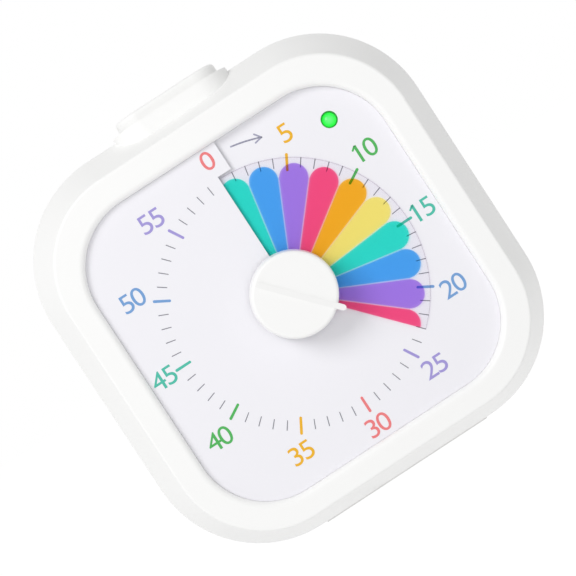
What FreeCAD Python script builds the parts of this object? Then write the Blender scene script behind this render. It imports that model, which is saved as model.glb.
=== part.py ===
import FreeCAD, Part
import math
import os

V = FreeCAD.Vector
os.makedirs("parts", exist_ok=True)

# Frame: X to the right seen from the front, the front looks along -Y, +Z up.
# The origin is at the middle of the base pad's underside. All sizes are in millimetres.

# Square well in the bezel, half across flats, and the flat band round it
well_half = 50.65
well_radius = 22.4
well_round = 1.8
well_wall = 2.0
bezel_flat = 8.2
bezel_shift = 0.6
bezel_round = 6.5

# Flare of the case from its front crease to its widest line, on each side
flare_side = 7.15
flare_under = 5.65
flare_over = 7.65
flare_round = 6.4
front_face_y = -27.0
flare_depth = 18.0
rear_depth = 24.0
wall = 2.2
rear_edge_round = 5.0

# Dial card in the well
well_gap = 0.05
dial_sink = 3.7
dial_thickness = 0.5
card_clearance = 0.2
dial_hole_radius = 9.0
tab_width = 4.6
tab_inner_radius = 41.2
tab_overlap_angle = 12.0

# Petal film, its climb per turn and its hub
film_thickness = 0.3
film_gap = 0.3
film_radius = 40.8
film_cut_angle = 2.0
rest_angle = 138.0
hub_radius = 7.8
hub_front = 1.5
hub_back = 0.9

# Spindle and bush
spindle_radius = 3.0
spindle_fit = 0.06
spindle_flat = 2.4
spindle_tail = 1.4
bush_radius = 6.0
bush_nose = 0.2
bush_length = 3.8

# Knob and pointer fin
knob_radius = 13.3
knob_taper = 0.5
knob_lift = 2.4
knob_height = 9.6
knob_edge_round = 1.0
knob_recess_radius = 9.0
knob_recess = 0.6
fin_width = 1.8
fin_reach = 15.4
fin_proud = 0.5
fin_depth = 1.2

# Dial tray behind the card
tray_floor = 1.6
flange_reach = 6.85
flange_round = 5.6
flange_thickness = 1.6
film_pocket_radius = 42.0
hub_hole_radius = 8.3
tray_screw_across = 30.0
tray_screw_offset = 4.55
tray_screw_bite = 3.5
tray_head_height = 1.2
tray_boss_radius = 2.5
tray_screw_radius = 0.9
tray_screw_head = 1.9

# Movement
gear_module = 0.6
gear_teeth = 60
pinion_teeth = 12
gear_width = 4.0
gear_clearance = 0.5
pinion_width = 5.0
movement_half_width = 21.0
movement_below = 20.6
movement_above = 33.0
movement_wall = 1.6
movement_depth = 10.7
motor_radius = 9.0
motor_length = 11.0
motor_shaft_radius = 1.0
shaft_fit = 0.05
cover_screw_across = 18.0
cover_boss_radius = 2.2
cover_screw_radius = 0.8
cover_screw_head = 1.6
cover_screw_depth = 7.7
cover_head_height = 1.0
rotor_radius = 6.0
rotor_length = 5.0
rotor_gap = 0.4

# Electronics
led_from_right = 13.65
led_from_top = 13.05
led_radius = 2.5
led_hole_gap = 0.1
led_sink = 0.4
led_flange_radius = 2.9
led_flange_thickness = 1.0
board_side_gap = 4.0
board_reach_right = 13.0
board_reach_down = 23.6
board_reach_up = 8.4
board_lift = 2.7
board_thickness = 1.6
standoff_radius = 2.0
standoff_inset = 3.0
buzzer_radius = 6.0
buzzer_length = 8.0
buzzer_drop = 16.0
chip_side = 8.0
chip_thickness = 1.4

# Push button
button_half_length = 17.55
button_half_depth = 7.35
button_proud = 4.7
button_round = 1.2
button_flange = 1.2
button_flange_height = 1.6
button_gap = 0.35
button_travel = 1.2
collar_half_length = 20.2
collar_half_depth = 10.5
collar_offset = 0.5
collar_proud = 1.3
collar_below = 9.0
collar_lip_width = 1.2
collar_lip = 0.4
collar_leg = 9.0
collar_leg_width = 4.0
stem_radius = 3.0
switch_board_half_depth = 6.0
tact_side = 6.0
tact_height = 3.6
plunger_radius = 1.6
plunger_gap = 0.1

# Battery bay, cells and door
cell_radius = 7.2
cell_length = 49.0
cell_button_radius = 2.7
cell_button_length = 1.3
cell_gap = 0.5
contact_thickness = 0.5
contact_side = 9.0
bay_wall = 1.6
door_thickness = 2.0
door_margin = 2.4
door_gap = 0.3
door_pin_radius = 0.8
door_pin_reach = 1.5
door_pin_fit = 0.08
bay_bottom = 13.0

# Sound switch on the back
slide_across = -32.0
slide_up = 38.0
slide_travel = 3.0
slide_knob_width = 4.0
slide_knob_height = 3.0
slide_proud = 1.4
slide_gap = 0.25
slide_body_length = 18.0
slide_body_height = 7.0
slide_body_depth = 6.0
slide_channel = 3.0

# Case screws, sound holes and base pad
screw_inset = 9.0
screw_up = 26.0
boss_radius = 3.4
screw_radius = 1.3
screw_head_radius = 2.6
screw_head_height = 1.8
screw_bite = 7.0
screw_seat = 12.0
sound_hole_radius = 0.8
sound_hole_ring = 4.0
sound_hole_count = 8
pad_half_length = 29.0
pad_inset = 1.0
pad_depth = 16.0
pad_thickness = 1.3
pad_proud = 0.5

# Case outline, counted from the dial axis
crease_half_width = well_half + bezel_flat
crease_below = crease_half_width - bezel_shift
crease_above = crease_half_width + bezel_shift
crease_radius = well_radius + bezel_round
wide_half_width = crease_half_width + flare_side
wide_below = crease_below + flare_under
wide_above = crease_above + flare_over
wide_radius = crease_radius + flare_round
axis_height = wide_below + pad_proud

# Places that follow the case outline
flange_half = well_half + flange_reach
flange_radius = well_radius + flange_round
tray_screw_out = well_half + tray_screw_offset
led_across = well_half - led_from_right
led_up = well_half - led_from_top
board_left = movement_half_width + board_side_gap
board_right = led_across + board_reach_right
board_below = led_up - board_reach_down
board_above = led_up + board_reach_up
button_top = wide_above + button_proud
collar_top = wide_above + collar_proud
screw_across = wide_half_width - screw_inset

# Planes that several pieces share
full_turn = 360.0
half_turn = 180.0
parting_y = front_face_y + flare_depth
rear_y = parting_y + rear_depth
rear_wall_y = rear_y - wall
climb = dial_thickness + film_thickness + 2.0 * film_gap
dial_y = front_face_y + dial_sink
pocket_y = dial_y + climb
tray_y = pocket_y + tray_floor
flange_y = tray_y + flange_thickness
cover_y = flange_y + movement_depth
bezel_back_y = dial_y - climb - card_clearance
bush_front_y = tray_y - bush_nose
bush_rear_y = bush_front_y + bush_length
spindle_rear_y = cover_y + movement_wall + spindle_tail
collar_centre_y = parting_y + collar_offset
gear_y = bush_rear_y + gear_clearance
motor_up = gear_module * (gear_teeth + pinion_teeth) / 2.0
rotor_y = cover_y + movement_wall + (motor_length - movement_wall - rotor_length) / 2.0
board_y = flange_y + board_lift
button_bottom = collar_top - collar_below
axis = V(0, 0, axis_height)
back = V(0, 1, 0)


def at(x, y, up):
    """Point given by its place across and up from the dial axis."""
    return V(x, y, axis_height + up)


def rod(radius, y_front, y_rear, x=0.0, up=0.0):
    """Cylinder along Y between two depths."""
    return Part.makeCylinder(radius, y_rear - y_front, at(x, y_front, up), back)


def block(x0, x1, y0, y1, up0, up1):
    """Box between two places, with heights counted from the dial axis."""
    return Part.makeBox(x1 - x0, y1 - y0, up1 - up0, at(x0, y0, up0))


def round_wire(half, below, above, radius, y):
    """Rounded rectangle about the dial axis in the plane at depth y."""
    right, low, high = half - radius, -below + radius, above - radius
    slant = radius * math.sqrt(0.5)
    edges = []
    centres = [(right, high, 1, 1), (-right, high, -1, 1), (-right, low, -1, -1), (right, low, 1, -1)]
    starts = [(radius, 0), (0, radius), (-radius, 0), (0, -radius)]
    corners = []
    for (cx, cz, sx, sz), (ax, az), (bx, bz) in zip(centres, starts, starts[1:] + starts[:1]):
        first = at(cx + ax, y, cz + az)
        middle = at(cx + sx * slant, y, cz + sz * slant)
        last = at(cx + bx, y, cz + bz)
        corners.append((first, middle, last))
    for index, (first, middle, last) in enumerate(corners):
        following = corners[(index + 1) % len(corners)][0]
        edges.append(Part.Arc(first, middle, last).toShape())
        edges.append(Part.LineSegment(last, following).toShape())
    return Part.Wire(edges)


def round_block(half, below, above, radius, y0, y1):
    """Rounded rectangle extruded from depth y0 to depth y1."""
    face = Part.Face(round_wire(half, below, above, radius, y0))
    return face.extrude(V(0, y1 - y0, 0))


def flared_block(inset, y0, y1):
    """Flared front of the case, set in from its surface, between two depths."""
    wires = []
    for y in (y0, y1):
        share = (y - front_face_y) / flare_depth
        half = crease_half_width + (wide_half_width - crease_half_width) * share - inset
        below = crease_below + (wide_below - crease_below) * share - inset
        above = crease_above + (wide_above - crease_above) * share - inset
        radius = crease_radius + (wide_radius - crease_radius) * share - inset
        wires.append(round_wire(half, below, above, radius, y))
    return Part.makeLoft(wires, True, True)


def stadium(half_length, half_depth, up0, up1):
    """Upright solid with round ends, long along X, centred under the push button."""
    straight = half_length - half_depth
    solid = block(-straight, straight, collar_centre_y - half_depth, collar_centre_y + half_depth, up0, up1)
    for x in (-straight, straight):
        end = Part.makeCylinder(half_depth, up1 - up0, at(x, collar_centre_y, up0))
        solid = solid.fuse(end)
    return solid.removeSplitter()


def helicoid(r_in, r_out, start, end, lift, thickness):
    """Sheet that rises towards the front as it goes clockwise from angle start to angle end."""
    rise = climb * (end - start) / full_turn
    inner = Part.makeHelix(climb, rise, r_in, 0, True)
    outer = Part.makeHelix(climb, rise, r_out, 0, True)
    sheet = Part.makeRuledSurface(inner.Edges[0], outer.Edges[0]).extrude(V(0, 0, thickness))
    sheet.rotate(V(0, 0, 0), V(0, 0, 1), -start)
    sheet.translate(V(0, 0, lift + climb * start / full_turn))
    turn = FreeCAD.Rotation(V(0, 0, 1), V(-1, 0, 0), V(0, -1, 0), "ZXY")
    sheet.Placement = FreeCAD.Placement(at(0, dial_y, 0), turn).multiply(sheet.Placement)
    return sheet


def corners(across, up_low, up_high):
    """Four places in a rectangle, as across and up from the dial axis."""
    return [(sx * across, up) for sx in (-1, 1) for up in (up_low, up_high)]


def save(name, shape):
    shape.exportStep("parts/" + name + ".step")
    print(name, shape.isValid(), len(shape.Solids), round(shape.Volume, 1))


screw_places = corners(screw_across, -screw_up, screw_up)
tray_screw_places = [(sx * tray_screw_across, sz * tray_screw_out) for sx in (-1, 1) for sz in (-1, 1)]
cover_screw_places = corners(cover_screw_across, cover_boss_radius + 1.0 - movement_below,
                             movement_above - cover_boss_radius - 1.0)
collar_shape = stadium(collar_half_length, collar_half_depth, button_bottom, collar_top)


# Front shell: flared bezel with a square well, screw bosses and half of the collar opening
def front_shell():
    outer = flared_block(0.0, front_face_y, parting_y)
    crease = [edge for edge in outer.Edges if abs(edge.BoundBox.YMax - front_face_y) < 0.01]
    outer = outer.makeFillet(0.8, crease)
    face_y = bezel_back_y
    hollow = flared_block(wall, face_y, parting_y)
    shell = outer.cut(hollow)
    well_out = well_half + well_wall
    shell = shell.fuse(round_block(well_out, well_out, well_out, well_radius + well_wall, face_y, tray_y))
    for x, up in tray_screw_places:
        shell = shell.fuse(rod(tray_boss_radius, face_y, tray_y, x, up))
    for x, up in screw_places:
        boss = rod(boss_radius, flange_y + 1.0, parting_y, x, up)
        shell = shell.fuse(boss.common(flared_block(wall / 2.0, front_face_y, parting_y)))
    shell = shell.cut(round_block(well_half, well_half, well_half, well_radius, front_face_y, tray_y))
    rim = [edge for edge in shell.Edges
           if abs(edge.BoundBox.YMin - front_face_y) < 0.01 and abs(edge.BoundBox.YMax - front_face_y) < 0.01
           and edge.BoundBox.XMax < well_half + 0.01 and edge.BoundBox.XMin > -well_half - 0.01
           and edge.BoundBox.ZMax < axis_height + well_half + 0.01
           and edge.BoundBox.ZMin > axis_height - well_half - 0.01]
    shell = shell.makeFillet(well_round, rim)
    for x, up in tray_screw_places:
        shell = shell.cut(rod(tray_screw_radius, face_y + 1.0, tray_y, x, up))
    for x, up in screw_places:
        shell = shell.cut(rod(screw_radius, parting_y - screw_bite, parting_y, x, up))
    return shell.cut(collar_shape)


# Rear shell: the other half of the case, with the battery and switch openings
def back_shell():
    outer = round_block(wide_half_width, wide_below, wide_above, wide_radius, parting_y, rear_y)
    edge_ring = [edge for edge in outer.Edges if edge.BoundBox.YMin > rear_y - 0.01]
    outer = outer.makeFillet(rear_edge_round, edge_ring)
    shell = outer.cut(round_block(wide_half_width - wall, wide_below - wall, wide_above - wall,
                                  wide_radius - wall, parting_y, rear_wall_y))
    for x, up in screw_places:
        boss = rod(boss_radius, parting_y, rear_y - 1.0, x, up).common(outer)
        shell = shell.fuse(boss)
    for x, up in screw_places:
        shell = shell.cut(rod(screw_radius + 0.2, parting_y, rear_y, x, up))
        shell = shell.cut(rod(screw_head_radius + 0.2, parting_y + screw_seat, rear_y, x, up))
    shell = shell.cut(door_solid(door_gap))
    shell = shell.cut(door_pins(door_pin_radius + door_pin_fit, door_pin_reach + door_gap))
    slot = slide_travel + slide_knob_width / 2.0 + slide_gap
    slot_high = slide_knob_height / 2.0 + slide_gap
    shell = shell.cut(block(slide_across - slot, slide_across + slot, rear_wall_y, rear_y,
                            slide_up - slot_high, slide_up + slot_high))
    for x, up in sound_places():
        shell = shell.cut(rod(sound_hole_radius, rear_wall_y, rear_y, x, up))
    pad = base_pad()
    return shell.cut(pad).cut(collar_shape)


def sound_places():
    """Ring of sound holes behind the buzzer, with one in the middle."""
    x, up = led_across, led_up - buzzer_drop
    places = [(x, up)]
    for index in range(sound_hole_count):
        angle = 2.0 * math.pi * index / sound_hole_count
        places.append((x + sound_hole_ring * math.cos(angle), up + sound_hole_ring * math.sin(angle)))
    return places


# Non-slip pad let into the base of the rear shell
def base_pad():
    y0 = parting_y + pad_inset
    low = -wide_below - pad_proud
    return block(-pad_half_length, pad_half_length, y0, y0 + pad_depth, low, low + pad_thickness)


# Dial card: one turn of a thin helicoid, cut at 0, with the tab that carries the figure 0
def dial_sheet():
    reach = well_half - well_gap
    trim = round_block(reach, reach, reach, well_radius - well_gap, front_face_y, tray_y)
    tab = block(0, tab_width, front_face_y, tray_y, tab_inner_radius, reach)
    low_end = block(0, tab_width, dial_y - climb / 2.0, tray_y, tab_inner_radius, reach)
    card = helicoid(dial_hole_radius, 1.5 * reach, full_turn, full_turn + tab_overlap_angle,
                    -dial_thickness, dial_thickness).common(tab)
    for start in (half_turn, 0.0):
        half = helicoid(dial_hole_radius, 1.5 * reach, start, start + half_turn,
                        -dial_thickness, dial_thickness)
        if start == 0.0:
            half = half.cut(low_end)
        card = card.fuse(half.common(trim))
    return card.cut(rod(led_radius + led_hole_gap, front_face_y, tray_y, led_across, led_up))


# Dial tray: carries the card round the film, and leaves the film its pocket
def dial_tray():
    reach = well_half - well_gap
    body = round_block(reach, reach, reach, well_radius - well_gap, front_face_y + 0.5, tray_y)
    flange = round_block(flange_half, flange_half, flange_half, flange_radius, tray_y, flange_y)
    for start in (0.0, half_turn):
        body = body.cut(helicoid(1.0, 1.5 * reach, start, start + half_turn, -dial_thickness, 4.0 * climb))
    body = body.cut(rod(film_pocket_radius, front_face_y, pocket_y))
    body = body.fuse(flange)
    body = body.cut(rod(hub_hole_radius, front_face_y, flange_y))
    for x, up in standoffs():
        body = body.fuse(rod(standoff_radius, flange_y, board_y, x, up))
    for x, up in tray_screw_places:
        body = body.cut(rod(tray_screw_radius, tray_y, flange_y, x, up))
    return body.cut(rod(led_radius + led_hole_gap, front_face_y, flange_y, led_across, led_up))


def standoffs():
    left, right = board_left + standoff_inset, board_right - standoff_inset
    low, high = board_below + standoff_inset, board_above - standoff_inset
    return [(left, low), (right, low), (left, high)]


# Petal film and its keyed hub
def petal_film():
    start = rest_angle - full_turn + film_cut_angle
    return helicoid(hub_radius, film_radius, start, rest_angle, film_gap, film_thickness)


def film_hub():
    ring = rod(hub_radius, dial_y - hub_front, dial_y + hub_back)
    bore = spindle_core(spindle_radius + spindle_fit, spindle_flat + spindle_fit,
                        dial_y - hub_front, dial_y + hub_back)
    return ring.cut(bore)


def spindle_core(radius, flat, y_front, y_rear):
    """Round bar along Y with one flat above the axis."""
    bar = rod(radius, y_front, y_rear)
    return bar.cut(block(-radius, radius, y_front, y_rear, flat, radius + 1.0))


# Spindle: round in its bearings, flatted where the hub and the knob sit
def spindle():
    knob_front = dial_y - knob_lift - knob_height
    front = spindle_core(spindle_radius, spindle_flat, knob_front + 3.0, bush_front_y - 0.4)
    return front.fuse(rod(spindle_radius, bush_front_y - 0.4, spindle_rear_y)).removeSplitter()


def spindle_bush():
    return rod(bush_radius, bush_front_y, bush_rear_y).cut(
        rod(spindle_radius + spindle_fit, bush_front_y, bush_rear_y))


# Knob: tapered drum, gripping the spindle, grooved across for the fin
def knob():
    rear = dial_y - knob_lift
    front = rear - knob_height
    drum = Part.makeCone(knob_radius, knob_radius - knob_taper, knob_height, at(0, rear, 0), V(0, -1, 0))
    rim = [edge for edge in drum.Edges if edge.BoundBox.YMax < front + 0.01]
    drum = drum.makeFillet(knob_edge_round, rim)
    drum = drum.cut(rod(knob_recess_radius, rear - knob_recess, rear))
    drum = drum.cut(spindle_core(spindle_radius, spindle_flat, front + 3.0, rear))
    return drum.cut(pointer_fin())


# Fin across the knob face, running down its side as the pointer
def pointer_fin():
    rear = dial_y - knob_lift
    front = rear - knob_height
    half = fin_width / 2.0
    bar = block(-half, half, front - fin_proud, front + fin_depth, -knob_radius + 1.5, fin_reach - half)
    side = block(-half, half, front - fin_proud, rear, knob_radius - 1.5, fin_reach - half)
    end = rod(half, front - fin_proud, rear, 0, fin_reach - half)
    fin = bar.fuse(side).fuse(end).removeSplitter()
    fin.rotate(axis, back, rest_angle)
    return fin


def gear(teeth, y_front, width, bore):
    """Spur gear with straight-sided teeth, its first gap pointing up."""
    pitch_radius = gear_module * teeth / 2.0
    root = pitch_radius - 1.15 * gear_module
    tip = pitch_radius + 0.8 * gear_module
    step = 2.0 * math.pi / teeth
    wide, narrow = 0.27 * step, 0.11 * step
    points = []
    for index in range(teeth):
        middle = step * (index + 0.5)
        for radius, offset in ((root, -wide), (tip, -narrow), (tip, narrow), (root, wide)):
            angle = middle + offset
            points.append(at(radius * math.sin(angle), y_front, radius * math.cos(angle)))
    points.append(points[0])
    wheel = Part.Face(Part.makePolygon(points)).extrude(V(0, width, 0))
    return wheel.cut(rod(bore, y_front, y_front + width))


# Gear on the spindle and the pinion on the motor shaft, above it
def output_gear():
    return gear(gear_teeth, gear_y, gear_width, spindle_radius)


def motor_pinion():
    y_front = gear_y - (pinion_width - gear_width) / 2.0
    wheel = gear(pinion_teeth, y_front, pinion_width, motor_shaft_radius)
    wheel.rotate(axis, back, half_turn + half_turn / pinion_teeth)
    shaft = rod(motor_shaft_radius, y_front, rotor_y + rotor_length)
    pinion = wheel.fuse(shaft)
    pinion.translate(V(0, 0, motor_up))
    return pinion


# Movement case, open to the rear, and its cover with the motor behind
def movement_case():
    half = movement_half_width
    box = block(-half, half, flange_y, cover_y, -movement_below, movement_above)
    inner = block(-half + movement_wall, half - movement_wall, flange_y + movement_wall, cover_y,
                  -movement_below + movement_wall, movement_above - movement_wall)
    box = box.cut(inner)
    for x, up in cover_screw_places:
        box = box.fuse(rod(cover_boss_radius, flange_y, cover_y, x, up))
        box = box.cut(rod(cover_screw_radius, flange_y + 2.0, cover_y, x, up))
    return box.cut(rod(bush_radius, flange_y, flange_y + movement_wall))


def movement_cover():
    half = movement_half_width
    rear = cover_y + movement_wall
    plate = block(-half, half, cover_y, rear, -movement_below, movement_above)
    for x, up in cover_screw_places:
        plate = plate.cut(rod(cover_screw_radius, cover_y, rear, x, up))
    plate = plate.cut(rod(spindle_radius + spindle_fit, cover_y, rear))
    return plate.cut(rod(motor_shaft_radius + shaft_fit, cover_y, rear, 0, motor_up))


def drive_motor():
    front = cover_y + movement_wall
    can = rod(motor_radius, front, cover_y + motor_length, 0, motor_up)
    can = can.cut(rod(motor_shaft_radius + shaft_fit, front, rotor_y, 0, motor_up))
    return can.cut(rod(rotor_radius + rotor_gap, rotor_y - rotor_gap, rotor_y + rotor_length + rotor_gap,
                       0, motor_up))


# Rotor of the motor, on the pinion's shaft
def motor_rotor():
    rotor = rod(rotor_radius, rotor_y, rotor_y + rotor_length, 0, motor_up)
    return rotor.cut(rod(motor_shaft_radius, rotor_y, rotor_y + rotor_length, 0, motor_up))


# Electronics behind the dial: board, chip, buzzer and indicator
def main_board():
    return block(board_left, board_right, board_y, board_y + board_thickness, board_below, board_above)


def control_chip():
    x = board_left + 3.0
    rear = board_y + board_thickness
    up = board_above - 3.0 - chip_side
    return block(x, x + chip_side, rear, rear + chip_thickness, up, up + chip_side)


def buzzer():
    rear = board_y + board_thickness
    can = rod(buzzer_radius, rear, rear + buzzer_length, led_across, led_up - buzzer_drop)
    return can.cut(rod(1.0, rear + buzzer_length - 1.0, rear + buzzer_length, led_across, led_up - buzzer_drop))


def status_led():
    tip = dial_y - climb * math.atan2(led_across, led_up) / (2.0 * math.pi) + led_sink
    dome = Part.makeSphere(led_radius, at(led_across, tip + led_radius, led_up))
    body = rod(led_radius, tip + led_radius, board_y, led_across, led_up).fuse(dome)
    foot = rod(led_flange_radius, board_y - led_flange_thickness, board_y, led_across, led_up)
    return body.fuse(foot).removeSplitter()


# Collar clamped between the shells, with two legs that hold the switch board
def button_collar():
    ring = collar_shape.copy()
    inside = stadium(collar_half_length - collar_lip_width, collar_half_depth - collar_lip_width,
                     collar_top - collar_lip, collar_top)
    ring = ring.cut(inside)
    ring = ring.cut(stadium(button_half_length + button_gap, button_half_depth + button_gap,
                            button_bottom, collar_top))
    flange = button_flange + button_gap
    ring = ring.cut(stadium(button_half_length + flange, button_half_depth + flange,
                            button_bottom, button_bottom + flange_rise()))
    outer = collar_half_length
    for side in (-1, 1):
        x0 = side * outer if side < 0 else outer - collar_leg_width
        leg = block(x0, x0 + collar_leg_width, collar_centre_y - 3.0, collar_centre_y + 3.0,
                    button_bottom - collar_leg, button_bottom + 1.0)
        bore = stadium(button_half_length + flange, button_half_depth + flange,
                       button_bottom - collar_leg, button_bottom + flange_rise())
        ring = ring.fuse(leg.cut(bore))
    return ring.removeSplitter()


def flange_rise():
    """Height of the wide part of the collar's bore, which the button's flange moves in."""
    return button_flange_height + button_travel + 2.0 * button_gap


def button_cap():
    flange_top = button_bottom + flange_rise() - 0.1
    cap = stadium(button_half_length, button_half_depth, flange_top - button_flange_height, button_top)
    top = [edge for edge in cap.Edges if edge.BoundBox.ZMin > axis_height + button_top - 0.01]
    cap = cap.makeFillet(button_round, top)
    cap = cap.fuse(stadium(button_half_length + button_flange, button_half_depth + button_flange,
                           flange_top - button_flange_height, flange_top))
    stem_low = switch_top() + plunger_gap
    stem = Part.makeCylinder(stem_radius, flange_top - stem_low, at(0, collar_centre_y, stem_low))
    return cap.fuse(stem).removeSplitter()


def board_top():
    return button_bottom - collar_leg


def switch_top():
    """Height of the plunger's tip above the dial axis."""
    return board_top() + tact_height + button_travel + 0.4


def switch_board():
    half = collar_half_length
    return block(-half, half, collar_centre_y - switch_board_half_depth,
                 collar_centre_y + switch_board_half_depth, board_top() - board_thickness, board_top())


def tact_switch():
    half = tact_side / 2.0
    body = block(-half, half, collar_centre_y - half, collar_centre_y + half,
                 board_top(), board_top() + tact_height)
    bore = Part.makeCylinder(plunger_radius + 0.1, tact_height - 0.8, at(0, collar_centre_y, board_top() + 0.8))
    return body.cut(bore)


def switch_plunger():
    low = board_top() + 0.8 + button_travel + 0.3
    return Part.makeCylinder(plunger_radius, switch_top() + plunger_gap - low, at(0, collar_centre_y, low))


# Battery bay sizes, counted from the dial axis
contact_room = contact_thickness + 0.3
bay_half = cell_length / 2.0 + cell_button_length / 2.0 + contact_room
bay_low = bay_bottom - axis_height
bay_high = bay_low + 4.0 * cell_radius + 3.0 * cell_gap
bay_front = rear_wall_y - 2.0 * cell_radius - 2.0 * cell_gap


def battery_box():
    box = block(-bay_half - bay_wall, bay_half + bay_wall, bay_front - bay_wall, rear_wall_y,
                bay_low - bay_wall, bay_high + bay_wall)
    return box.cut(block(-bay_half, bay_half, bay_front, rear_wall_y, bay_low, bay_high))


def cell_places():
    """Heights of the two cells, and the way that each one points."""
    first = bay_low + cell_gap + cell_radius
    return [(first, 1), (first + 2.0 * cell_radius + cell_gap, -1)]


def battery_cells():
    cells = []
    for up, way in cell_places():
        y = bay_front + cell_gap + cell_radius
        start = at(-way * (cell_length + cell_button_length) / 2.0, y, up)
        can = Part.makeCylinder(cell_radius, cell_length, start, V(way, 0, 0))
        tip_at = start + V(way * cell_length, 0, 0)
        tip = Part.makeCylinder(cell_button_radius, cell_button_length, tip_at, V(way, 0, 0))
        cells.append(can.fuse(tip))
    return Part.makeCompound(cells)


def battery_contacts():
    plates = []
    for up, way in cell_places():
        for side in (-1, 1):
            x0 = bay_half - contact_thickness if side > 0 else -bay_half
            y = bay_front + cell_gap + cell_radius
            half = contact_side / 2.0
            plate = block(x0, x0 + contact_thickness, y - half, y + half, up - half, up + half)
            inner = x0 if side > 0 else x0 + contact_thickness
            gap = contact_room - contact_thickness
            nub = Part.makeCylinder(1.5, gap, at(inner, y, up), V(-side, 0, 0))
            plates.append(plate.fuse(nub))
    return Part.makeCompound(plates)


# Battery door: lies in the rear shell and turns on two pins at its lower edge
door_half = bay_half - door_margin
door_low = bay_low + 1.0
door_high = bay_high - 1.0
door_pin_up = door_low + door_thickness / 2.0


def door_solid(grow):
    front = rear_y - door_thickness - (0.0 if grow == 0.0 else door_thickness)
    plate = block(-door_half - grow, door_half + grow, front, rear_y + grow, door_low - grow, door_high + grow)
    return plate


def door_pins(radius, reach):
    y = rear_y - door_thickness / 2.0
    length = 2.0 * (door_half + reach)
    return Part.makeCylinder(radius, length, at(-length / 2.0, y, door_pin_up), V(1, 0, 0))


def battery_door():
    plate = door_solid(0.0)
    lower = [edge for edge in plate.Edges if edge.BoundBox.ZMax < axis_height + door_low + 0.01
             and edge.BoundBox.XLength > door_half]
    plate = plate.makeFillet(door_thickness / 2.0 - 0.02, lower)
    grip = block(-6.0, 6.0, rear_y - 1.0, rear_y + 1.0, door_high - 2.0, door_high + 1.0)
    return plate.cut(grip).fuse(door_pins(door_pin_radius, door_pin_reach)).removeSplitter()


# Sound switch behind the rear wall, and its sliding knob
def slide_switch():
    half, high = slide_body_length / 2.0, slide_body_height / 2.0
    body = block(slide_across - half, slide_across + half, rear_wall_y - slide_body_depth, rear_wall_y,
                 slide_up - high, slide_up + high)
    reach = slide_travel + slide_knob_width / 2.0 + slide_gap
    tall = slide_knob_height / 2.0 + slide_gap
    return body.cut(block(slide_across - reach, slide_across + reach, rear_wall_y - slide_channel,
                          rear_wall_y, slide_up - tall, slide_up + tall))


def slide_knob():
    half, tall = slide_knob_width / 2.0, slide_knob_height / 2.0
    knob_block = block(slide_across - half, slide_across + half, rear_wall_y - slide_channel + slide_gap,
                       rear_y + slide_proud, slide_up - tall, slide_up + tall)
    for offset in (-1.0, 1.0):
        knob_block = knob_block.cut(block(slide_across + offset - 0.25, slide_across + offset + 0.25,
                                          rear_y + slide_proud - 0.4, rear_y + slide_proud,
                                          slide_up - tall, slide_up + tall))
    return knob_block


# Fasteners, each kind as one group of separate screws
def screws(places, y_tip, y_seat, radius, head_radius, head_height):
    group = []
    for x, up in places:
        shank = rod(radius, y_tip, y_seat, x, up)
        head = rod(head_radius, y_seat, y_seat + head_height, x, up)
        slot = block(x - head_radius, x + head_radius, y_seat + head_height - 0.6, y_seat + head_height,
                     up - 0.3, up + 0.3)
        group.append(shank.fuse(head).cut(slot))
    return Part.makeCompound(group)


save("front_shell", front_shell())
save("back_shell", back_shell())
save("base_pad", base_pad())
save("dial_sheet", dial_sheet())
save("dial_tray", dial_tray())
save("petal_film", petal_film())
save("film_hub", film_hub())
save("spindle", spindle())
save("spindle_bush", spindle_bush())
save("knob", knob())
save("pointer_fin", pointer_fin())
save("output_gear", output_gear())
save("motor_pinion", motor_pinion())
save("movement_case", movement_case())
save("movement_cover", movement_cover())
save("drive_motor", drive_motor())
save("motor_rotor", motor_rotor())
save("main_board", main_board())
save("control_chip", control_chip())
save("buzzer", buzzer())
save("status_led", status_led())
save("button_collar", button_collar())
save("button_cap", button_cap())
save("switch_board", switch_board())
save("tact_switch", tact_switch())
save("switch_plunger", switch_plunger())
save("battery_box", battery_box())
save("battery_cells", battery_cells())
save("battery_contacts", battery_contacts())
save("battery_door", battery_door())
save("slide_switch", slide_switch())
save("slide_knob", slide_knob())
save("case_screws", screws(screw_places, parting_y - screw_bite + 0.5, parting_y + screw_seat,
                           screw_radius, screw_head_radius, screw_head_height))
save("tray_screws", screws(tray_screw_places, tray_y - tray_screw_bite, flange_y,
                           tray_screw_radius, tray_screw_head, tray_head_height))
save("cover_screws", screws(cover_screw_places, cover_y - cover_screw_depth, cover_y + movement_wall,
                            cover_screw_radius, cover_screw_head, cover_head_height))
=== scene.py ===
import math

import bpy
from mathutils import Matrix, Vector


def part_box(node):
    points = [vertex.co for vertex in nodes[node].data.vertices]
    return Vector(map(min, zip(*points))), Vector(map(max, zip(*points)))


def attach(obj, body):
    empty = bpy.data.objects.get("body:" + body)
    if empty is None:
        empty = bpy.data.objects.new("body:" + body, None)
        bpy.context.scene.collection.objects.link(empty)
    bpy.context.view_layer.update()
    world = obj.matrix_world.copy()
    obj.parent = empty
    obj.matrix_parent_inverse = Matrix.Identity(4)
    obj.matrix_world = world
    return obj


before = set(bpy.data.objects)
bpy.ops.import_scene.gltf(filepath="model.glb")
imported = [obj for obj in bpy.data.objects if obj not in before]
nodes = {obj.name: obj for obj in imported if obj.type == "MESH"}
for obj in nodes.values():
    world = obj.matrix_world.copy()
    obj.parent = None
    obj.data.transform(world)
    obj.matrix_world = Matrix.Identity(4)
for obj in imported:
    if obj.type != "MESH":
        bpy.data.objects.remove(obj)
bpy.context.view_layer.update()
MM = 0.001
MICRON = 0.001 * MM
TURN = 2.0 * math.pi
WHITE = (1.0, 1.0, 1.0, 1.0)


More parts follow.
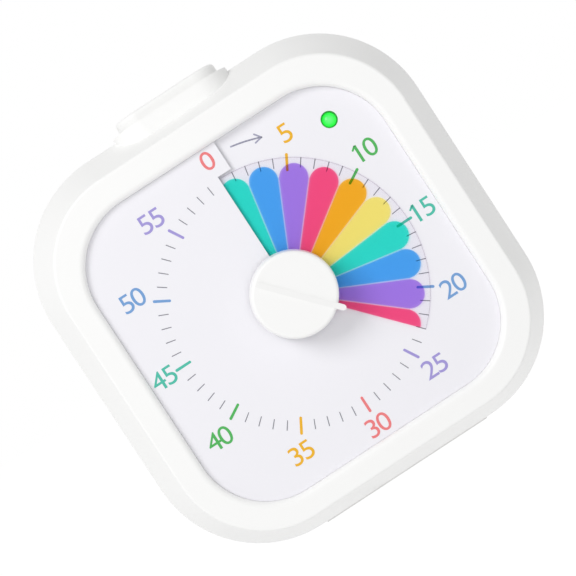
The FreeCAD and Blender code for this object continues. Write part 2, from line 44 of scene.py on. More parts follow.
# The case: two satin white ABS mouldings that meet at a parting line, with the collar between.
# Their skin has a fine spark-eroded grain, faint flow marks and patches smoothed by handling.
def srgb(red, green, blue):
    """Colour as a monitor shows it, turned into the light values that a shader wants."""
    def linear(value):
        value /= 255.0
        return value / 12.92 if value <= 0.04045 else ((value + 0.055) / 1.055) ** 2.4
    return (linear(red), linear(green), linear(blue), 1.0)


def wire(tree, outlet, inlet):
    tree.links.new(outlet, inlet)


def sum_of(tree, kind, first, second=None, third=None):
    """Math node. Each input is a number or another node's outlet."""
    node = tree.nodes.new("ShaderNodeMath")
    node.operation = kind
    for index, value in enumerate((first, second, third)):
        if value is None:
            continue
        if isinstance(value, (int, float)):
            node.inputs[index].default_value = value
        else:
            wire(tree, value, node.inputs[index])
    return node.outputs[0]


def blend_colour(tree, share, first, second):
    """Mix node between two colours, each a colour or another node's outlet."""
    node = tree.nodes.new("ShaderNodeMix")
    node.data_type = "RGBA"
    inlets = (node.inputs[0], node.inputs[6], node.inputs[7])
    for inlet, value in zip(inlets, (share, first, second)):
        if isinstance(value, (int, float, tuple)):
            inlet.default_value = value
        else:
            wire(tree, value, inlet)
    return node.outputs[2]


def add_sockets(group, direction, colours, values):
    """Sockets of a node group, the colours first and then the plain values."""
    for name in colours:
        group.interface.new_socket(name, in_out=direction, socket_type="NodeSocketColor")
    for name in values:
        group.interface.new_socket(name, in_out=direction, socket_type="NodeSocketFloat")


FLOW_SCALE = 28.0
FLOW_TINT = (0.5, 0.5, 0.52, 1.0)
FLOW_TINT_SHARE = 0.85
FLOW_CONTRAST, FLOW_OFFSET = 0.03, -0.01
HANDLED_SWING = 0.16
GRAIN_SWING = 0.10


def moulded_skin():
    """Node group: the grain, faint flow marks and handling of a moulded plastic face."""
    group = bpy.data.node_groups.new("moulded_skin", "ShaderNodeTree")
    add_sockets(group, "INPUT", ["Colour"], ["Roughness", "Grain size", "Grain"])
    add_sockets(group, "OUTPUT", ["Colour"], ["Roughness", "Height"])
    inside = group.nodes.new("NodeGroupInput")
    outside = group.nodes.new("NodeGroupOutput")
    place = group.nodes.new("ShaderNodeTexCoord")

    grain = group.nodes.new("ShaderNodeTexNoise")
    grain.inputs["Detail"].default_value = 3.0
    wire(group, place.outputs["Object"], grain.inputs["Vector"])
    wire(group, inside.outputs["Grain size"], grain.inputs["Scale"])
    wire(group, sum_of(group, "MULTIPLY", grain.outputs["Fac"], inside.outputs["Grain"]),
         outside.inputs["Height"])

    flow = group.nodes.new("ShaderNodeTexNoise")
    flow.inputs["Scale"].default_value = FLOW_SCALE
    flow.inputs["Detail"].default_value = 2.0
    wire(group, place.outputs["Object"], flow.inputs["Vector"])
    flow_share = sum_of(group, "MULTIPLY_ADD", flow.outputs["Fac"], FLOW_CONTRAST, FLOW_OFFSET)
    darker = blend_colour(group, FLOW_TINT_SHARE, inside.outputs["Colour"], FLOW_TINT)
    wire(group, blend_colour(group, flow_share, inside.outputs["Colour"], darker),
         outside.inputs["Colour"])

    handled = sum_of(group, "MULTIPLY_ADD", flow.outputs["Fac"],
                     HANDLED_SWING, -HANDLED_SWING / 2.0)
    fine = sum_of(group, "MULTIPLY_ADD", grain.outputs["Fac"], GRAIN_SWING, -GRAIN_SWING / 2.0)
    rough = sum_of(group, "ADD", sum_of(group, "ADD", inside.outputs["Roughness"], handled), fine)
    wire(group, rough, outside.inputs["Roughness"])
    return group


SKIN = moulded_skin()
GRAIN_RELIEF = 50.0 * MICRON


def principled(name):
    """A new material with its node tree and its main shader."""
    material = bpy.data.materials.new(name)
    material.use_nodes = True
    return material, material.node_tree, material.node_tree.nodes["Principled BSDF"]


def plastic(name, colour, roughness=0.4, grain_size=2600.0, grain=0.25, bump=0.02):
    """Moulded plastic with a skin of its own colour and roughness."""
    material, tree, shader = principled(name)
    skin = tree.nodes.new("ShaderNodeGroup")
    skin.node_tree = SKIN
    skin.inputs["Colour"].default_value = colour
    skin.inputs["Roughness"].default_value = roughness
    skin.inputs["Grain size"].default_value = grain_size
    skin.inputs["Grain"].default_value = grain
    relief = tree.nodes.new("ShaderNodeBump")
    relief.inputs["Strength"].default_value = bump
    relief.inputs["Distance"].default_value = GRAIN_RELIEF
    wire(tree, skin.outputs["Height"], relief.inputs["Height"])
    wire(tree, relief.outputs["Normal"], shader.inputs["Normal"])
    wire(tree, skin.outputs["Colour"], shader.inputs["Base Color"])
    wire(tree, skin.outputs["Roughness"], shader.inputs["Roughness"])
    return material


def finish(material, *names):
    """Gives CAD nodes their finish."""
    for name in names:
        for place in nodes[name].material_slots:
            place.material = material


CASE_WHITE = srgb(250, 250, 249)
case_abs = plastic("case_abs", CASE_WHITE, roughness=0.42, bump=0.05)
finish(case_abs, "button_collar", "battery_door")

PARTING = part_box("front_shell")[1][1]
SEAM_HALF = 0.14 * MM
SEAM_DARKENING = 0.45
SEAM_GREY = srgb(120, 120, 122)
shell_abs = plastic("shell_abs", CASE_WHITE, roughness=0.42, bump=0.05)
tree = shell_abs.node_tree
shader = tree.nodes["Principled BSDF"]
skin = next(node for node in tree.nodes if node.type == "GROUP")
relief = next(node for node in tree.nodes if node.type == "BUMP")
place = tree.nodes.new("ShaderNodeTexCoord")
split = tree.nodes.new("ShaderNodeSeparateXYZ")
wire(tree, place.outputs["Object"], split.inputs[0])
off_seam = sum_of(tree, "ABSOLUTE", sum_of(tree, "SUBTRACT", split.outputs["Y"], PARTING))
near_seam = sum_of(tree, "SUBTRACT", 1.0, sum_of(tree, "DIVIDE", off_seam, SEAM_HALF))
near_seam = sum_of(tree, "MAXIMUM", near_seam, 0.0)
wire(tree, sum_of(tree, "SUBTRACT", skin.outputs["Height"], near_seam), relief.inputs["Height"])
seam_share = sum_of(tree, "MULTIPLY", near_seam, SEAM_DARKENING)
seamed = blend_colour(tree, seam_share, skin.outputs["Colour"], SEAM_GREY)
wire(tree, seamed, shader.inputs["Base Color"])
finish(shell_abs, "front_shell", "back_shell")


# The push button and the knob: the same ABS, a shade smoother where fingers touch them.
# The fin across the knob is a separate moulding, painted a little darker as painted shade for the
# thin shadow along its edge.
touch_abs = plastic("touch_abs", srgb(249, 249, 248), roughness=0.36, bump=0.03)
finish(touch_abs, "button_cap", "knob")
# Painted shade: the fin's colour is a little darker than the knob's, standing in for the shadow
# along its edge.
fin_abs_painted_shade = plastic("fin_abs_painted_shade", srgb(245, 245, 244), roughness=0.42, bump=0.03)
finish(fin_abs_painted_shade, "pointer_fin")


# The dial card: a matt lavender-white sheet, one turn of a screw, cut at 0 for the film.
# A tab beside the cut carries the 0, and lies one turn higher than the card that it covers.
def middle_of(box, axis):
    """Middle of a box along one axis, counted 0, 1, 2 for X, Y, Z."""
    low, high = box
    return (low[axis] + high[axis]) / 2.0


DIAL_AXIS = middle_of(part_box("spindle"), 2)
CLIMB = 1.4 * MM
CARD_THICKNESS = 0.5 * MM
CARD_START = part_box("dial_sheet")[1][1] - CARD_THICKNESS
TAB_WIDTH = 4.6 * MM
TAB_START = 41.2 * MM
card_sheet = plastic("card_sheet", srgb(242, 241, 246), roughness=0.6, grain_size=5200.0, bump=0.03)
finish(card_sheet, "dial_sheet")


def card_front(x, z):
    """Depth of the card's front face at a place on the dial."""
    up = z - DIAL_AXIS
    turn = math.atan2(x, up) % TURN
    if 0.0 <= x <= TAB_WIDTH and up > TAB_START:
        turn += TURN
    return CARD_START - CLIMB * turn / TURN


# The print on the card: ticks, figures and arrow, laid down as a thin film of screen ink.
# Each is modelled flat at its own size, and then laid on the card's slope.
INK = 30.0 * MICRON
INK_COLOURS = {
    "coral": srgb(236, 122, 124), "gold": srgb(237, 178, 14), "green": srgb(72, 176, 84),
    "teal": srgb(70, 188, 166), "blue": srgb(112, 158, 212), "lavender": srgb(160, 149, 214),
}
INK_ORDER = list(INK_COLOURS)


def ink(name, colour):
    """Screen ink, a little uneven where the mesh of the screen shows."""
    return plastic(name, colour, roughness=0.5, grain_size=7000.0, grain=0.4, bump=0.02)


inks = {name: ink("ink_" + name, colour) for name, colour in INK_COLOURS.items()}
tick_ink = ink("ink_grey", srgb(118, 118, 128))
arrow_ink = ink("ink_arrow", srgb(160, 160, 182))


def minute_ink(minute):
    """Name of the colour that a five-minute mark and its figure are printed in."""
    return INK_ORDER[minute // 5 % len(INK_ORDER)]


def pick_none():
    bpy.ops.object.select_all(action="DESELECT")


def pick(*pieces):
    pick_none()
    for piece in pieces:
        piece.select_set(True)
    bpy.context.view_layer.objects.active = pieces[0]


BAR_CORNERS = 16


def bar(width, length):
    """Flat bar with round ends, its middle at the origin, lying in X and Y along Y."""
    pick_none()
    bpy.ops.mesh.primitive_cylinder_add(vertices=BAR_CORNERS, radius=width / 2.0, depth=1.0)
    piece = bpy.context.object
    bpy.ops.object.mode_set(mode="EDIT")
    bpy.ops.mesh.select_all(action="DESELECT")
    bpy.ops.object.mode_set(mode="OBJECT")
    for point in piece.data.vertices:
        point.select = point.co.y > -1e-9
    bpy.ops.object.mode_set(mode="EDIT")
    bpy.ops.transform.translate(value=(0, (length - width) / 2.0, 0))
    bpy.ops.mesh.select_all(action="INVERT")
    bpy.ops.transform.translate(value=(0, -(length - width) / 2.0, 0))
    bpy.ops.object.mode_set(mode="OBJECT")
    return piece


def lay_print(piece, x, z, turn=0.0):
    """Turns a flat piece clockwise, puts it at its place and lays it on the card."""
    turned = Matrix.Rotation(-turn, 3, "Z")
    for point in piece.data.vertices:
        flat = turned @ point.co
        place_x = x + flat.x
        place_z = z + flat.y
        lift = INK if point.co.z > 0.0 else -INK
        point.co = Vector((place_x, card_front(place_x, place_z) - lift, place_z))
    piece.matrix_world = Matrix.Identity(4)
    pick(piece)
    bpy.ops.object.mode_set(mode="EDIT")
    bpy.ops.mesh.select_all(action="SELECT")
    bpy.ops.mesh.normals_make_consistent(inside=False)
    bpy.ops.object.mode_set(mode="OBJECT")


def paint(piece, material):
    piece.data.materials.clear()
    piece.data.materials.append(material)


def join_as(name, pieces):
    pick(*pieces)
    bpy.ops.object.join()
    piece = bpy.context.object
    piece.name = name
    piece.data.name = name
    return piece


def on_dial(radius, angle):
    """Place at a radius and a clockwise angle from the top of the dial."""
    return radius * math.sin(angle), DIAL_AXIS + radius * math.cos(angle)


def print_tick(width, inner, outer, angle):
    """Tick along a radius of the dial, between two distances from its middle."""
    tick = bar(width, outer - inner)
    lay_print(tick, *on_dial((inner + outer) / 2.0, angle), angle)
    return tick


MINUTES = 60
MINOR_TICK = (0.27 * MM, 37.5 * MM, 40.6 * MM)
MAJOR_TICK = (0.85 * MM, 36.4 * MM, 41.8 * MM)
minor_ticks = []
major_ticks = {name: [] for name in INK_ORDER}
for minute in range(1, MINUTES):
    angle = math.radians(360.0 / MINUTES * minute)
    if minute % 5:
        minor_ticks.append(print_tick(*MINOR_TICK, angle))
    else:
        major_ticks[minute_ink(minute)].append(print_tick(*MAJOR_TICK, angle))
ticks = join_as("minor_ticks", minor_ticks)
paint(ticks, tick_ink)
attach(ticks, "case")
for colour, pieces in major_ticks.items():
    marks = join_as("major_ticks_" + colour, pieces)
    paint(marks, inks[colour])
    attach(marks, "case")

FIGURE_HEIGHT = 5.7 * MM
FIGURE_WIDTH = 1.09
FIGURE_SPACING = 0.87
FIGURE_CURVE_STEPS = 8
FLAG_WIDTH, FLAG_LENGTH, FLAG_LEAN = 0.62 * MM, 1.9 * MM, math.radians(52.0)
# Middle of each figure from the dial's middle, across and up, in millimetres.
FIGURE_PLACES = {
    0: (0.0, 46.9), 5: (23.8, 41.4), 10: (41.6, 24.3), 15: (46.2, 0.2), 20: (41.1, -23.7),
    25: (23.3, -40.8), 30: (-0.1, -46.2), 35: (-23.8, -40.7), 40: (-41.9, -23.9),
    45: (-45.9, 0.1), 50: (-40.9, 24.5), 55: (-23.6, 41.1),
}
for minute, (across, up) in FIGURE_PLACES.items():
    pick_none()
    bpy.ops.object.text_add()
    figure = bpy.context.object
    figure.data.body = str(minute)
    figure.data.align_x = "CENTER"
    figure.data.extrude = 0.01
    figure.data.space_character = FIGURE_SPACING
    figure.data.resolution_u = FIGURE_CURVE_STEPS
    bpy.ops.object.convert(target="MESH")
    figure = bpy.context.object
    low = min(point.co.y for point in figure.data.vertices)
    left = min(point.co.x for point in figure.data.vertices)
    right = max(point.co.x for point in figure.data.vertices)
    scale = FIGURE_HEIGHT / figure.dimensions.y
    for point in figure.data.vertices:
        point.co.x = (point.co.x - (left + right) / 2.0) * scale * FIGURE_WIDTH
        point.co.y = (point.co.y - low) * scale - FIGURE_HEIGHT / 2.0
    if str(minute).startswith("1"):
        flag = bar(FLAG_WIDTH, FLAG_LENGTH)
        lean = Matrix.Rotation(-FLAG_LEAN, 3, "Z")
        reach = (FLAG_LENGTH - FLAG_WIDTH) / 2.0
        figure_left = min(point.co.x for point in figure.data.vertices)
        corner = Vector((figure_left + FLAG_WIDTH / 2.0,
                         FIGURE_HEIGHT / 2.0 - FLAG_WIDTH / 2.0, 0.0))
        for point in flag.data.vertices:
            point.co = corner + lean @ (point.co - Vector((0.0, reach, 0.0)))
        figure = join_as("figure", [figure, flag])
    lay_print(figure, across * MM, DIAL_AXIS + up * MM)
    figure.name = "figure_" + str(minute)
    paint(figure, inks[minute_ink(minute)])
    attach(figure, "case")

ARROW_WIDTH = 0.5 * MM
ARROW_RADIUS = 47.4 * MM
ARROW_FROM, ARROW_TO = math.radians(9.9), math.radians(21.4)
ARROW_STEPS = 10
BARB, BARB_SPREAD = 2.9 * MM, math.radians(32.0)
arrow_parts = []
step = (ARROW_TO - ARROW_FROM) / ARROW_STEPS
for index in range(ARROW_STEPS):
    angle = ARROW_FROM + step * (index + 0.5)
    piece = bar(ARROW_WIDTH, ARROW_RADIUS * step + ARROW_WIDTH)
    lay_print(piece, *on_dial(ARROW_RADIUS, angle), angle + math.pi / 2.0)
    arrow_parts.append(piece)
tip_x, tip_z = on_dial(ARROW_RADIUS, ARROW_TO)
for side in (-1, 1):
    turn = ARROW_TO - math.pi / 2.0 + side * BARB_SPREAD
    piece = bar(ARROW_WIDTH, BARB)
    reach = (BARB - ARROW_WIDTH) / 2.0
    lay_print(piece, tip_x + reach * math.sin(turn), tip_z + reach * math.cos(turn), turn)
    arrow_parts.append(piece)
arrow = join_as("dial_arrow", arrow_parts)
paint(arrow, arrow_ink)
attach(arrow, "case")


# Details of the back: grip ridges under the door's finger notch, and the sound switch's marks.
# They are moulded in one with the door and the rear shell. Each mark is wider than the last.
RAISED = 0.35 * MM
ROOT = 0.1 * MM
EDGE_ROUND = 0.12 * MM
OUTWARD = 0.9


def stand_up(piece, x, z, face):
    """Stands a flat bar along X on a face that looks backwards, and rounds its outer edge."""
    for point in piece.data.vertices:
        depth = face + RAISED if point.co.z > 0.0 else face - ROOT
        point.co = Vector((x + point.co.y, depth, z + point.co.x))
    piece.matrix_world = Matrix.Identity(4)
    pick(piece)
    bpy.ops.object.mode_set(mode="EDIT")
    bpy.ops.mesh.select_mode(type="FACE")
    bpy.ops.mesh.select_all(action="SELECT")
    bpy.ops.mesh.normals_make_consistent(inside=False)
    bpy.ops.mesh.select_all(action="DESELECT")
    bpy.ops.object.mode_set(mode="OBJECT")
    for polygon in piece.data.polygons:
        polygon.select = polygon.normal.y > OUTWARD
    bpy.ops.object.mode_set(mode="EDIT")
    bpy.ops.mesh.bevel(offset=EDGE_ROUND, segments=2, affect="EDGES")
    bpy.ops.mesh.select_all(action="DESELECT")
    bpy.ops.mesh.select_mode(type="VERT")
    bpy.ops.object.mode_set(mode="OBJECT")


door_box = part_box("battery_door")
REAR_FACE = door_box[1][1]
RIDGE_LENGTH, RIDGE_WIDTH, RIDGE_PITCH, RIDGE_COUNT = 12.0 * MM, 0.7 * MM, 1.5 * MM, 5
RIDGE_TOP = door_box[1][2] - 4.6 * MM
ridges = []
for index in range(RIDGE_COUNT):
    ridge = bar(RIDGE_WIDTH, RIDGE_LENGTH)
    stand_up(ridge, 0.0, RIDGE_TOP - index * RIDGE_PITCH, REAR_FACE)
    ridges.append(ridge)
door_ridges = join_as("door_ridges", ridges)
paint(door_ridges, case_abs)
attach(door_ridges, "door")

slider_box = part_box("slide_knob")
SLIDER_X = middle_of(slider_box, 0)
MARK_UP = slider_box[0][2] - 2.6 * MM
MARK_PITCH = 3.0 * MM
MARK_WIDTHS = (0.7 * MM, 1.0 * MM, 1.3 * MM)
marks = []
for index, width in enumerate(MARK_WIDTHS):
    mark = bar(width, width)
    stand_up(mark, SLIDER_X + (index - 1) * MARK_PITCH, MARK_UP, REAR_FACE)
    marks.append(mark)
sound_marks = join_as("sound_marks", marks)
paint(sound_marks, case_abs)
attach(sound_marks, "case")


# The film: a clear sheet on its hub, printed with translucent petals in six colours, over and over.
# Its free edge lies under the pointer. Each petal is 15 degrees wide and has a round tip.
PETAL_COLOURS = [srgb(255, 78, 132), srgb(168, 124, 236), srgb(74, 168, 248),
                 srgb(46, 228, 208), srgb(255, 238, 118), srgb(255, 180, 34)]
PETAL_PITCH = math.radians(15.0)
PETAL_REACH = 34.45 * MM
PETAL_SEAM = 0.1 * MM
PETAL_SOFT_EDGE = 0.10 * MM
FILM_EDGE = math.radians(138.0)
FILM_RADIUS = 40.8 * MM
RIM_INSET, RIM_HALF = 0.35 * MM, 0.12 * MM
RIM_COVER, CLEAR_COVER, INK_COVER = 0.3, 0.06, 0.955
SEAM_WHITENING = 0.5
FILM_BODY = 0.04
# Light from the card has crossed four faces of film, so each takes about a quarter of the tint.
TINT_PER_FACE = 0.235


def length_of(tree, first, second):
    """Length of a flat vector from its two parts."""
    return sum_of(tree, "SQRT", sum_of(tree, "ADD", sum_of(tree, "MULTIPLY", first, first),
                                       sum_of(tree, "MULTIPLY", second, second)))


def petal_print():
    """Node group: which petal a point of the film lies in, and how much ink is there."""
    group = bpy.data.node_groups.new("petal_print", "ShaderNodeTree")
    add_sockets(group, "OUTPUT", ["Colour"], ["Ink", "Ground", "Rim"])
    outside = group.nodes.new("NodeGroupOutput")
    place = group.nodes.new("ShaderNodeTexCoord")
    split = group.nodes.new("ShaderNodeSeparateXYZ")
    wire(group, place.outputs["Object"], split.inputs[0])
    across = split.outputs["X"]
    up = sum_of(group, "SUBTRACT", split.outputs["Z"], DIAL_AXIS)
    radius = length_of(group, across, up)
    angle = sum_of(group, "ARCTAN2", across, up)
    behind = sum_of(group, "SUBTRACT", FILM_EDGE, angle)
    behind = sum_of(group, "FLOORED_MODULO", behind, TURN)
    petal = sum_of(group, "ROUND", sum_of(group, "DIVIDE", behind, PETAL_PITCH))
    local = sum_of(group, "SUBTRACT", behind, sum_of(group, "MULTIPLY", petal, PETAL_PITCH))
    sideways = sum_of(group, "MULTIPLY", radius, sum_of(group, "SINE", local))
    along = sum_of(group, "MULTIPLY", radius, sum_of(group, "COSINE", local))
    past = sum_of(group, "MAXIMUM", sum_of(group, "SUBTRACT", along, PETAL_REACH), 0.0)
    from_spine = length_of(group, past, sideways)
    half = sum_of(group, "MULTIPLY", sum_of(group, "MINIMUM", along, PETAL_REACH),
                  math.sin(PETAL_PITCH / 2.0))
    margin = sum_of(group, "SUBTRACT", sum_of(group, "SUBTRACT", half, PETAL_SEAM), from_spine)
    inked = sum_of(group, "MULTIPLY", margin, 1.0 / PETAL_SOFT_EDGE)
    inked = sum_of(group, "MINIMUM", sum_of(group, "MAXIMUM", inked, 0.0), 1.0)
    wire(group, inked, outside.inputs["Ink"])
    within = sum_of(group, "LESS_THAN", past, 1e-6)
    wire(group, sum_of(group, "MAXIMUM", inked, within), outside.inputs["Ground"])
    rim = sum_of(group, "COMPARE", radius, FILM_RADIUS - RIM_INSET, RIM_HALF)
    wire(group, rim, outside.inputs["Rim"])
    colour_count = float(len(PETAL_COLOURS))
    order = sum_of(group, "FLOORED_MODULO", petal, colour_count)
    share = sum_of(group, "DIVIDE", sum_of(group, "ADD", order, 0.5), colour_count)
    ramp = group.nodes.new("ShaderNodeValToRGB")
    ramp.color_ramp.interpolation = "CONSTANT"
    stops = ramp.color_ramp.elements
    for index, colour in enumerate(PETAL_COLOURS):
        if index < 2:
            stop = stops[index]
            stop.position = index / colour_count
        else:
            stop = stops.new(index / colour_count)
        stop.color = colour
    wire(group, share, ramp.inputs[0])
    wire(group, ramp.outputs["Color"], outside.inputs["Colour"])
    return group


film_print, tree, shader = principled("film_print")
petals = tree.nodes.new("ShaderNodeGroup")
petals.node_tree = petal_print()
clear = blend_colour(tree, petals.outputs["Rim"], srgb(246, 244, 250), srgb(205, 198, 207))
seam = blend_colour(tree, SEAM_WHITENING, petals.outputs["Colour"], WHITE)
edged = blend_colour(tree, petals.outputs["Ink"], seam, petals.outputs["Colour"])
tint = blend_colour(tree, petals.outputs["Ground"], clear, edged)
skin = tree.nodes.new("ShaderNodeGroup")
skin.node_tree = SKIN
skin.inputs["Roughness"].default_value = 0.34
skin.inputs["Grain size"].default_value = 900.0
skin.inputs["Grain"].default_value = 0.3
wire(tree, tint, skin.inputs["Colour"])
wire(tree, skin.outputs["Colour"], shader.inputs["Base Color"])
wire(tree, skin.outputs["Roughness"], shader.inputs["Roughness"])
bare_cover = sum_of(tree, "MULTIPLY_ADD", petals.outputs["Rim"], RIM_COVER, CLEAR_COVER)
inked_cover = sum_of(tree, "MULTIPLY", petals.outputs["Ground"], INK_COVER)
wire(tree, sum_of(tree, "MAXIMUM", inked_cover, bare_cover), shader.inputs["Alpha"])
filtered = tree.nodes.new("ShaderNodeBsdfTransparent")
one_pass = tree.nodes.new("ShaderNodeGamma")
one_pass.inputs["Gamma"].default_value = TINT_PER_FACE
wire(tree, skin.outputs["Colour"], one_pass.inputs["Color"])
wire(tree, one_pass.outputs["Color"], filtered.inputs["Color"])
through = tree.nodes.new("ShaderNodeMixShader")
through.inputs[0].default_value = FILM_BODY
wire(tree, filtered.outputs[0], through.inputs[1])
wire(tree, shader.outputs[0], through.inputs[2])
wire(tree, through.outputs[0], tree.nodes["Material Output"].inputs["Surface"])
finish(film_print, "petal_film")


# The indicator: a lit green 5 mm LED, whose colour is painted lighter in the middle and darker at
# the rim, a painted highlight and painted shade where the lens turns away. Its colour, with that
# painted highlight and shade, also glows, so it stays bright where the lamp doesn't reach it.
led_lens, tree, shader = principled("led_lens")
LED_RADIUS = 2.5 * MM
LED_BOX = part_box("status_led")
LED_X = middle_of(LED_BOX, 0)
LED_Z = middle_of(LED_BOX, 2)
GLOW_HIGHLIGHT_SHADE_STOPS = ((0.0, srgb(90, 255, 110)), (0.72, srgb(40, 235, 70)), (1.0, srgb(10, 130, 40)))
place = tree.nodes.new("ShaderNodeTexCoord")
centred = tree.nodes.new("ShaderNodeMapping")
centred.inputs["Location"].default_value = (-LED_X, 0.0, -LED_Z)
wire(tree, place.outputs["Object"], centred.inputs["Vector"])
flat = tree.nodes.new("ShaderNodeSeparateXYZ")
wire(tree, centred.outputs["Vector"], flat.inputs[0])
off_axis = length_of(tree, flat.outputs["X"], flat.outputs["Z"])
# Ramp of painted highlight in the middle and painted shade towards the rim, used for colour and
# glow alike.
glow_highlight_shade = tree.nodes.new("ShaderNodeValToRGB")
glow_highlight_shade.color_ramp.elements.new(GLOW_HIGHLIGHT_SHADE_STOPS[1][0])
for stop, (position, colour) in zip(glow_highlight_shade.color_ramp.elements, GLOW_HIGHLIGHT_SHADE_STOPS):
    stop.position = position
    stop.color = colour
wire(tree, sum_of(tree, "DIVIDE", off_axis, LED_RADIUS), glow_highlight_shade.inputs[0])
wire(tree, glow_highlight_shade.outputs["Color"], shader.inputs["Base Color"])
wire(tree, glow_highlight_shade.outputs["Color"], shader.inputs["Emission Color"])
shader.inputs["Emission Strength"].default_value = 0.55
shader.inputs["Roughness"].default_value = 0.25
finish(led_lens, "status_led")


# The base pad: milky silicone, let into the rear shell's underside.
# It stands proud of the shell, so that the timer doesn't slide on its smooth case.
pad_silicone = plastic("pad_silicone", srgb(236, 236, 234), roughness=0.75,
                       grain_size=1500.0, bump=0.2)
finish(pad_silicone, "base_pad")


# The works inside: mouldings in natural polystyrene, acetal and black nylon, and the boards.
# The spindle, contacts and screws are plated steel, the bush turned brass, the motor a drawn can.
inner_ps = plastic("inner_ps", srgb(236, 236, 232), roughness=0.55, bump=0.04)
finish(inner_ps, "dial_tray", "film_hub", "movement_case", "movement_cover", "battery_box")
gear_acetal = plastic("gear_acetal", srgb(238, 232, 214), roughness=0.45, bump=0.03)
finish(gear_acetal, "output_gear", "motor_pinion")
black_nylon = plastic("black_nylon", srgb(34, 34, 37), roughness=0.5, bump=0.1)
finish(black_nylon, "control_chip", "buzzer", "tact_switch", "switch_plunger", "slide_switch")
slider_grey = plastic("slider_grey", srgb(88, 88, 92), roughness=0.5, bump=0.1)
finish(slider_grey, "slide_knob")
board_green = plastic("board_green", srgb(24, 92, 48), roughness=0.3, grain_size=800.0, bump=0.1)
finish(board_green, "main_board", "switch_board")
cell_wrap = plastic("cell_wrap", srgb(58, 92, 150), roughness=0.3, bump=0.02)
finish(cell_wrap, "battery_cells")


STREAK_SWING = 0.2
STREAK_DULLNESS = 0.8


def metal(name, colour, roughness, streak=(900.0, 900.0, 900.0)):
    """Plated or turned metal with fine streaks from its making."""
    material, tree, shader = principled(name)
    shader.inputs["Metallic"].default_value = 1.0
    place = tree.nodes.new("ShaderNodeTexCoord")
    drawn = tree.nodes.new("ShaderNodeMapping")
    drawn.inputs["Scale"].default_value = streak
    wire(tree, place.outputs["Object"], drawn.inputs["Vector"])
    streaks = tree.nodes.new("ShaderNodeTexNoise")
    streaks.inputs["Scale"].default_value = 1.0
    wire(tree, drawn.outputs["Vector"], streaks.inputs["Vector"])
    rough = sum_of(tree, "MULTIPLY_ADD", streaks.outputs["Fac"], STREAK_SWING,
                   roughness - STREAK_SWING / 2.0)
    wire(tree, rough, shader.inputs["Roughness"])
    dull = tuple(value * STREAK_DULLNESS for value in colour[:3]) + (1.0,)
    streaked = blend_colour(tree, streaks.outputs["Fac"], dull, colour)
    wire(tree, streaked, shader.inputs["Base Color"])
    return material


plated_steel = metal("plated_steel", srgb(205, 205, 208), 0.32)
finish(plated_steel, "spindle", "battery_contacts", "case_screws", "tray_screws", "cover_screws")
turned_brass = metal("turned_brass", srgb(214, 178, 96), 0.3, (400.0, 3000.0, 400.0))
finish(turned_brass, "spindle_bush")
drawn_can = metal("drawn_can", srgb(190, 190, 194), 0.28, (300.0, 2500.0, 300.0))
finish(drawn_can, "drive_motor", "motor_rotor")


# The room: a white table that keeps the timer's shadow, and a white surround.
# Both are plain white where the camera sees them, and light the timer more softly than that.
TABLE_SIZE = 6.0
TABLE_SEEN, TABLE_SHADOWED, TABLE_GLOW = 0.9, 0.2, 0.84


def grey(value):
    return (value, value, value, 1.0)


def looked_at_directly(tree):
    """Value that is 1 for rays of the camera, of mirrors and of clear pieces, and 0 for others."""
    rays = tree.nodes.new("ShaderNodeLightPath").outputs
    through = sum_of(tree, "MAXIMUM", rays["Is Camera Ray"], rays["Is Transmission Ray"])
    return sum_of(tree, "MAXIMUM", through, rays["Is Glossy Ray"])


pick_none()
bpy.ops.mesh.primitive_plane_add(size=TABLE_SIZE, location=(0.0, 0.0, 0.0))
table = bpy.context.object
table.name = "table"
table_white, tree, shader = principled("table_white")
shader.inputs["Base Color"].default_value = grey(TABLE_SHADOWED)
shader.inputs["Roughness"].default_value = 0.9
shader.inputs["Specular IOR Level"].default_value = 0.0
white = tree.nodes.new("ShaderNodeEmission")
white.inputs["Color"].default_value = grey(TABLE_SEEN)
bounce = tree.nodes.new("ShaderNodeEmission")
bounce.inputs["Color"].default_value = grey(TABLE_GLOW)
looked_at = tree.nodes.new("ShaderNodeAddShader")
wire(tree, shader.outputs[0], looked_at.inputs[0])
wire(tree, white.outputs[0], looked_at.inputs[1])
both = tree.nodes.new("ShaderNodeMixShader")
wire(tree, looked_at_directly(tree), both.inputs[0])
wire(tree, bounce.outputs[0], both.inputs[1])
wire(tree, looked_at.outputs[0], both.inputs[2])
wire(tree, both.outputs[0], tree.nodes["Material Output"].inputs["Surface"])
table.data.materials.append(table_white)

AMBIENT = 0.515
world = bpy.data.worlds.new("studio")
bpy.context.scene.world = world
world.use_nodes = True
tree = world.node_tree
sky = tree.nodes["Background"]
sky.inputs["Color"].default_value = WHITE
strength = sum_of(tree, "MULTIPLY_ADD", looked_at_directly(tree), 1.0 - AMBIENT, AMBIENT)
wire(tree, strength, sky.inputs["Strength"])


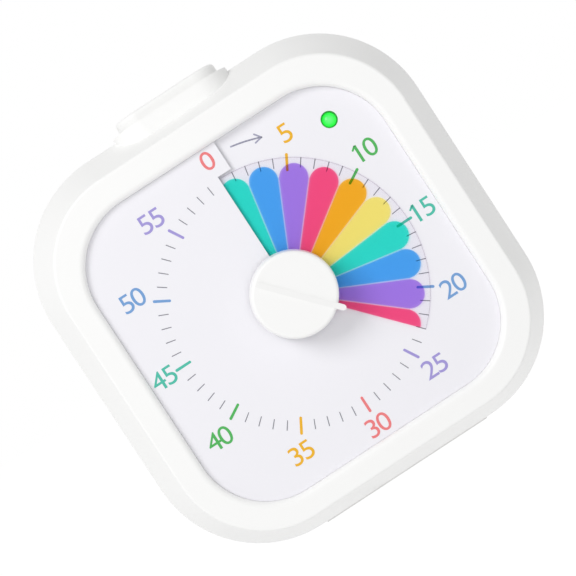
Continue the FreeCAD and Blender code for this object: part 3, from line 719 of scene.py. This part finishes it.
def softbox(name, place, aim, size, power):
    """Square studio light, turned to face its aim."""
    lamp = bpy.data.lights.new(name, "AREA")
    lamp.size = size
    lamp.energy = power
    holder = bpy.data.objects.new(name, lamp)
    bpy.context.scene.collection.objects.link(holder)
    holder.location = place
    holder.rotation_euler = (Vector(aim) - Vector(place)).to_track_quat("-Z", "Y").to_euler()


DIAL_MIDDLE = (0.0, -24.0 * MM, DIAL_AXIS)
KEY_PLACE = (-0.533, -0.931, 0.775)
KEY_SIZE = 0.62
KEY_POWER = 7.45
softbox("key_left", KEY_PLACE, DIAL_MIDDLE, KEY_SIZE, KEY_POWER)


# The camera: as the photo's, almost square on, from a little left and above, and rolled.
# The lens is long, and its shift puts the dial's middle where the photo has it.
CAMERA_AWAY = 0.603
CAMERA_LEFT = math.radians(0.9)
CAMERA_ABOVE = math.radians(1.7)
ROLL = math.radians(33.1)
IMAGE = 576.0
SENSOR = 36.0
NEAREST = 0.01
FOCAL_PIXELS = 2036.0
DIAL_PIXEL = (294.0, 294.0)
away = Vector((-math.sin(CAMERA_LEFT) * math.cos(CAMERA_ABOVE),
               -math.cos(CAMERA_LEFT) * math.cos(CAMERA_ABOVE), math.sin(CAMERA_ABOVE)))
forward = -away
right = forward.cross(Vector((0, 0, 1))).normalized()
upward = right.cross(forward)
camera_right = right * math.cos(ROLL) - upward * math.sin(ROLL)
camera_up = right * math.sin(ROLL) + upward * math.cos(ROLL)
camera_data = bpy.data.cameras.new("camera")
camera_data.sensor_width = SENSOR
camera_data.lens = FOCAL_PIXELS * SENSOR / IMAGE
camera_data.clip_start = NEAREST
camera_data.shift_x = -(DIAL_PIXEL[0] - IMAGE / 2.0) / IMAGE
camera_data.shift_y = (DIAL_PIXEL[1] - IMAGE / 2.0) / IMAGE
camera = bpy.data.objects.new("camera", camera_data)
bpy.context.scene.collection.objects.link(camera)
turned = Matrix((camera_right, camera_up, -forward)).transposed().to_4x4()
camera.matrix_world = Matrix.Translation(Vector(DIAL_MIDDLE) + away * CAMERA_AWAY) @ turned
bpy.context.scene.camera = camera
bpy.context.scene.view_settings.view_transform = "Standard"
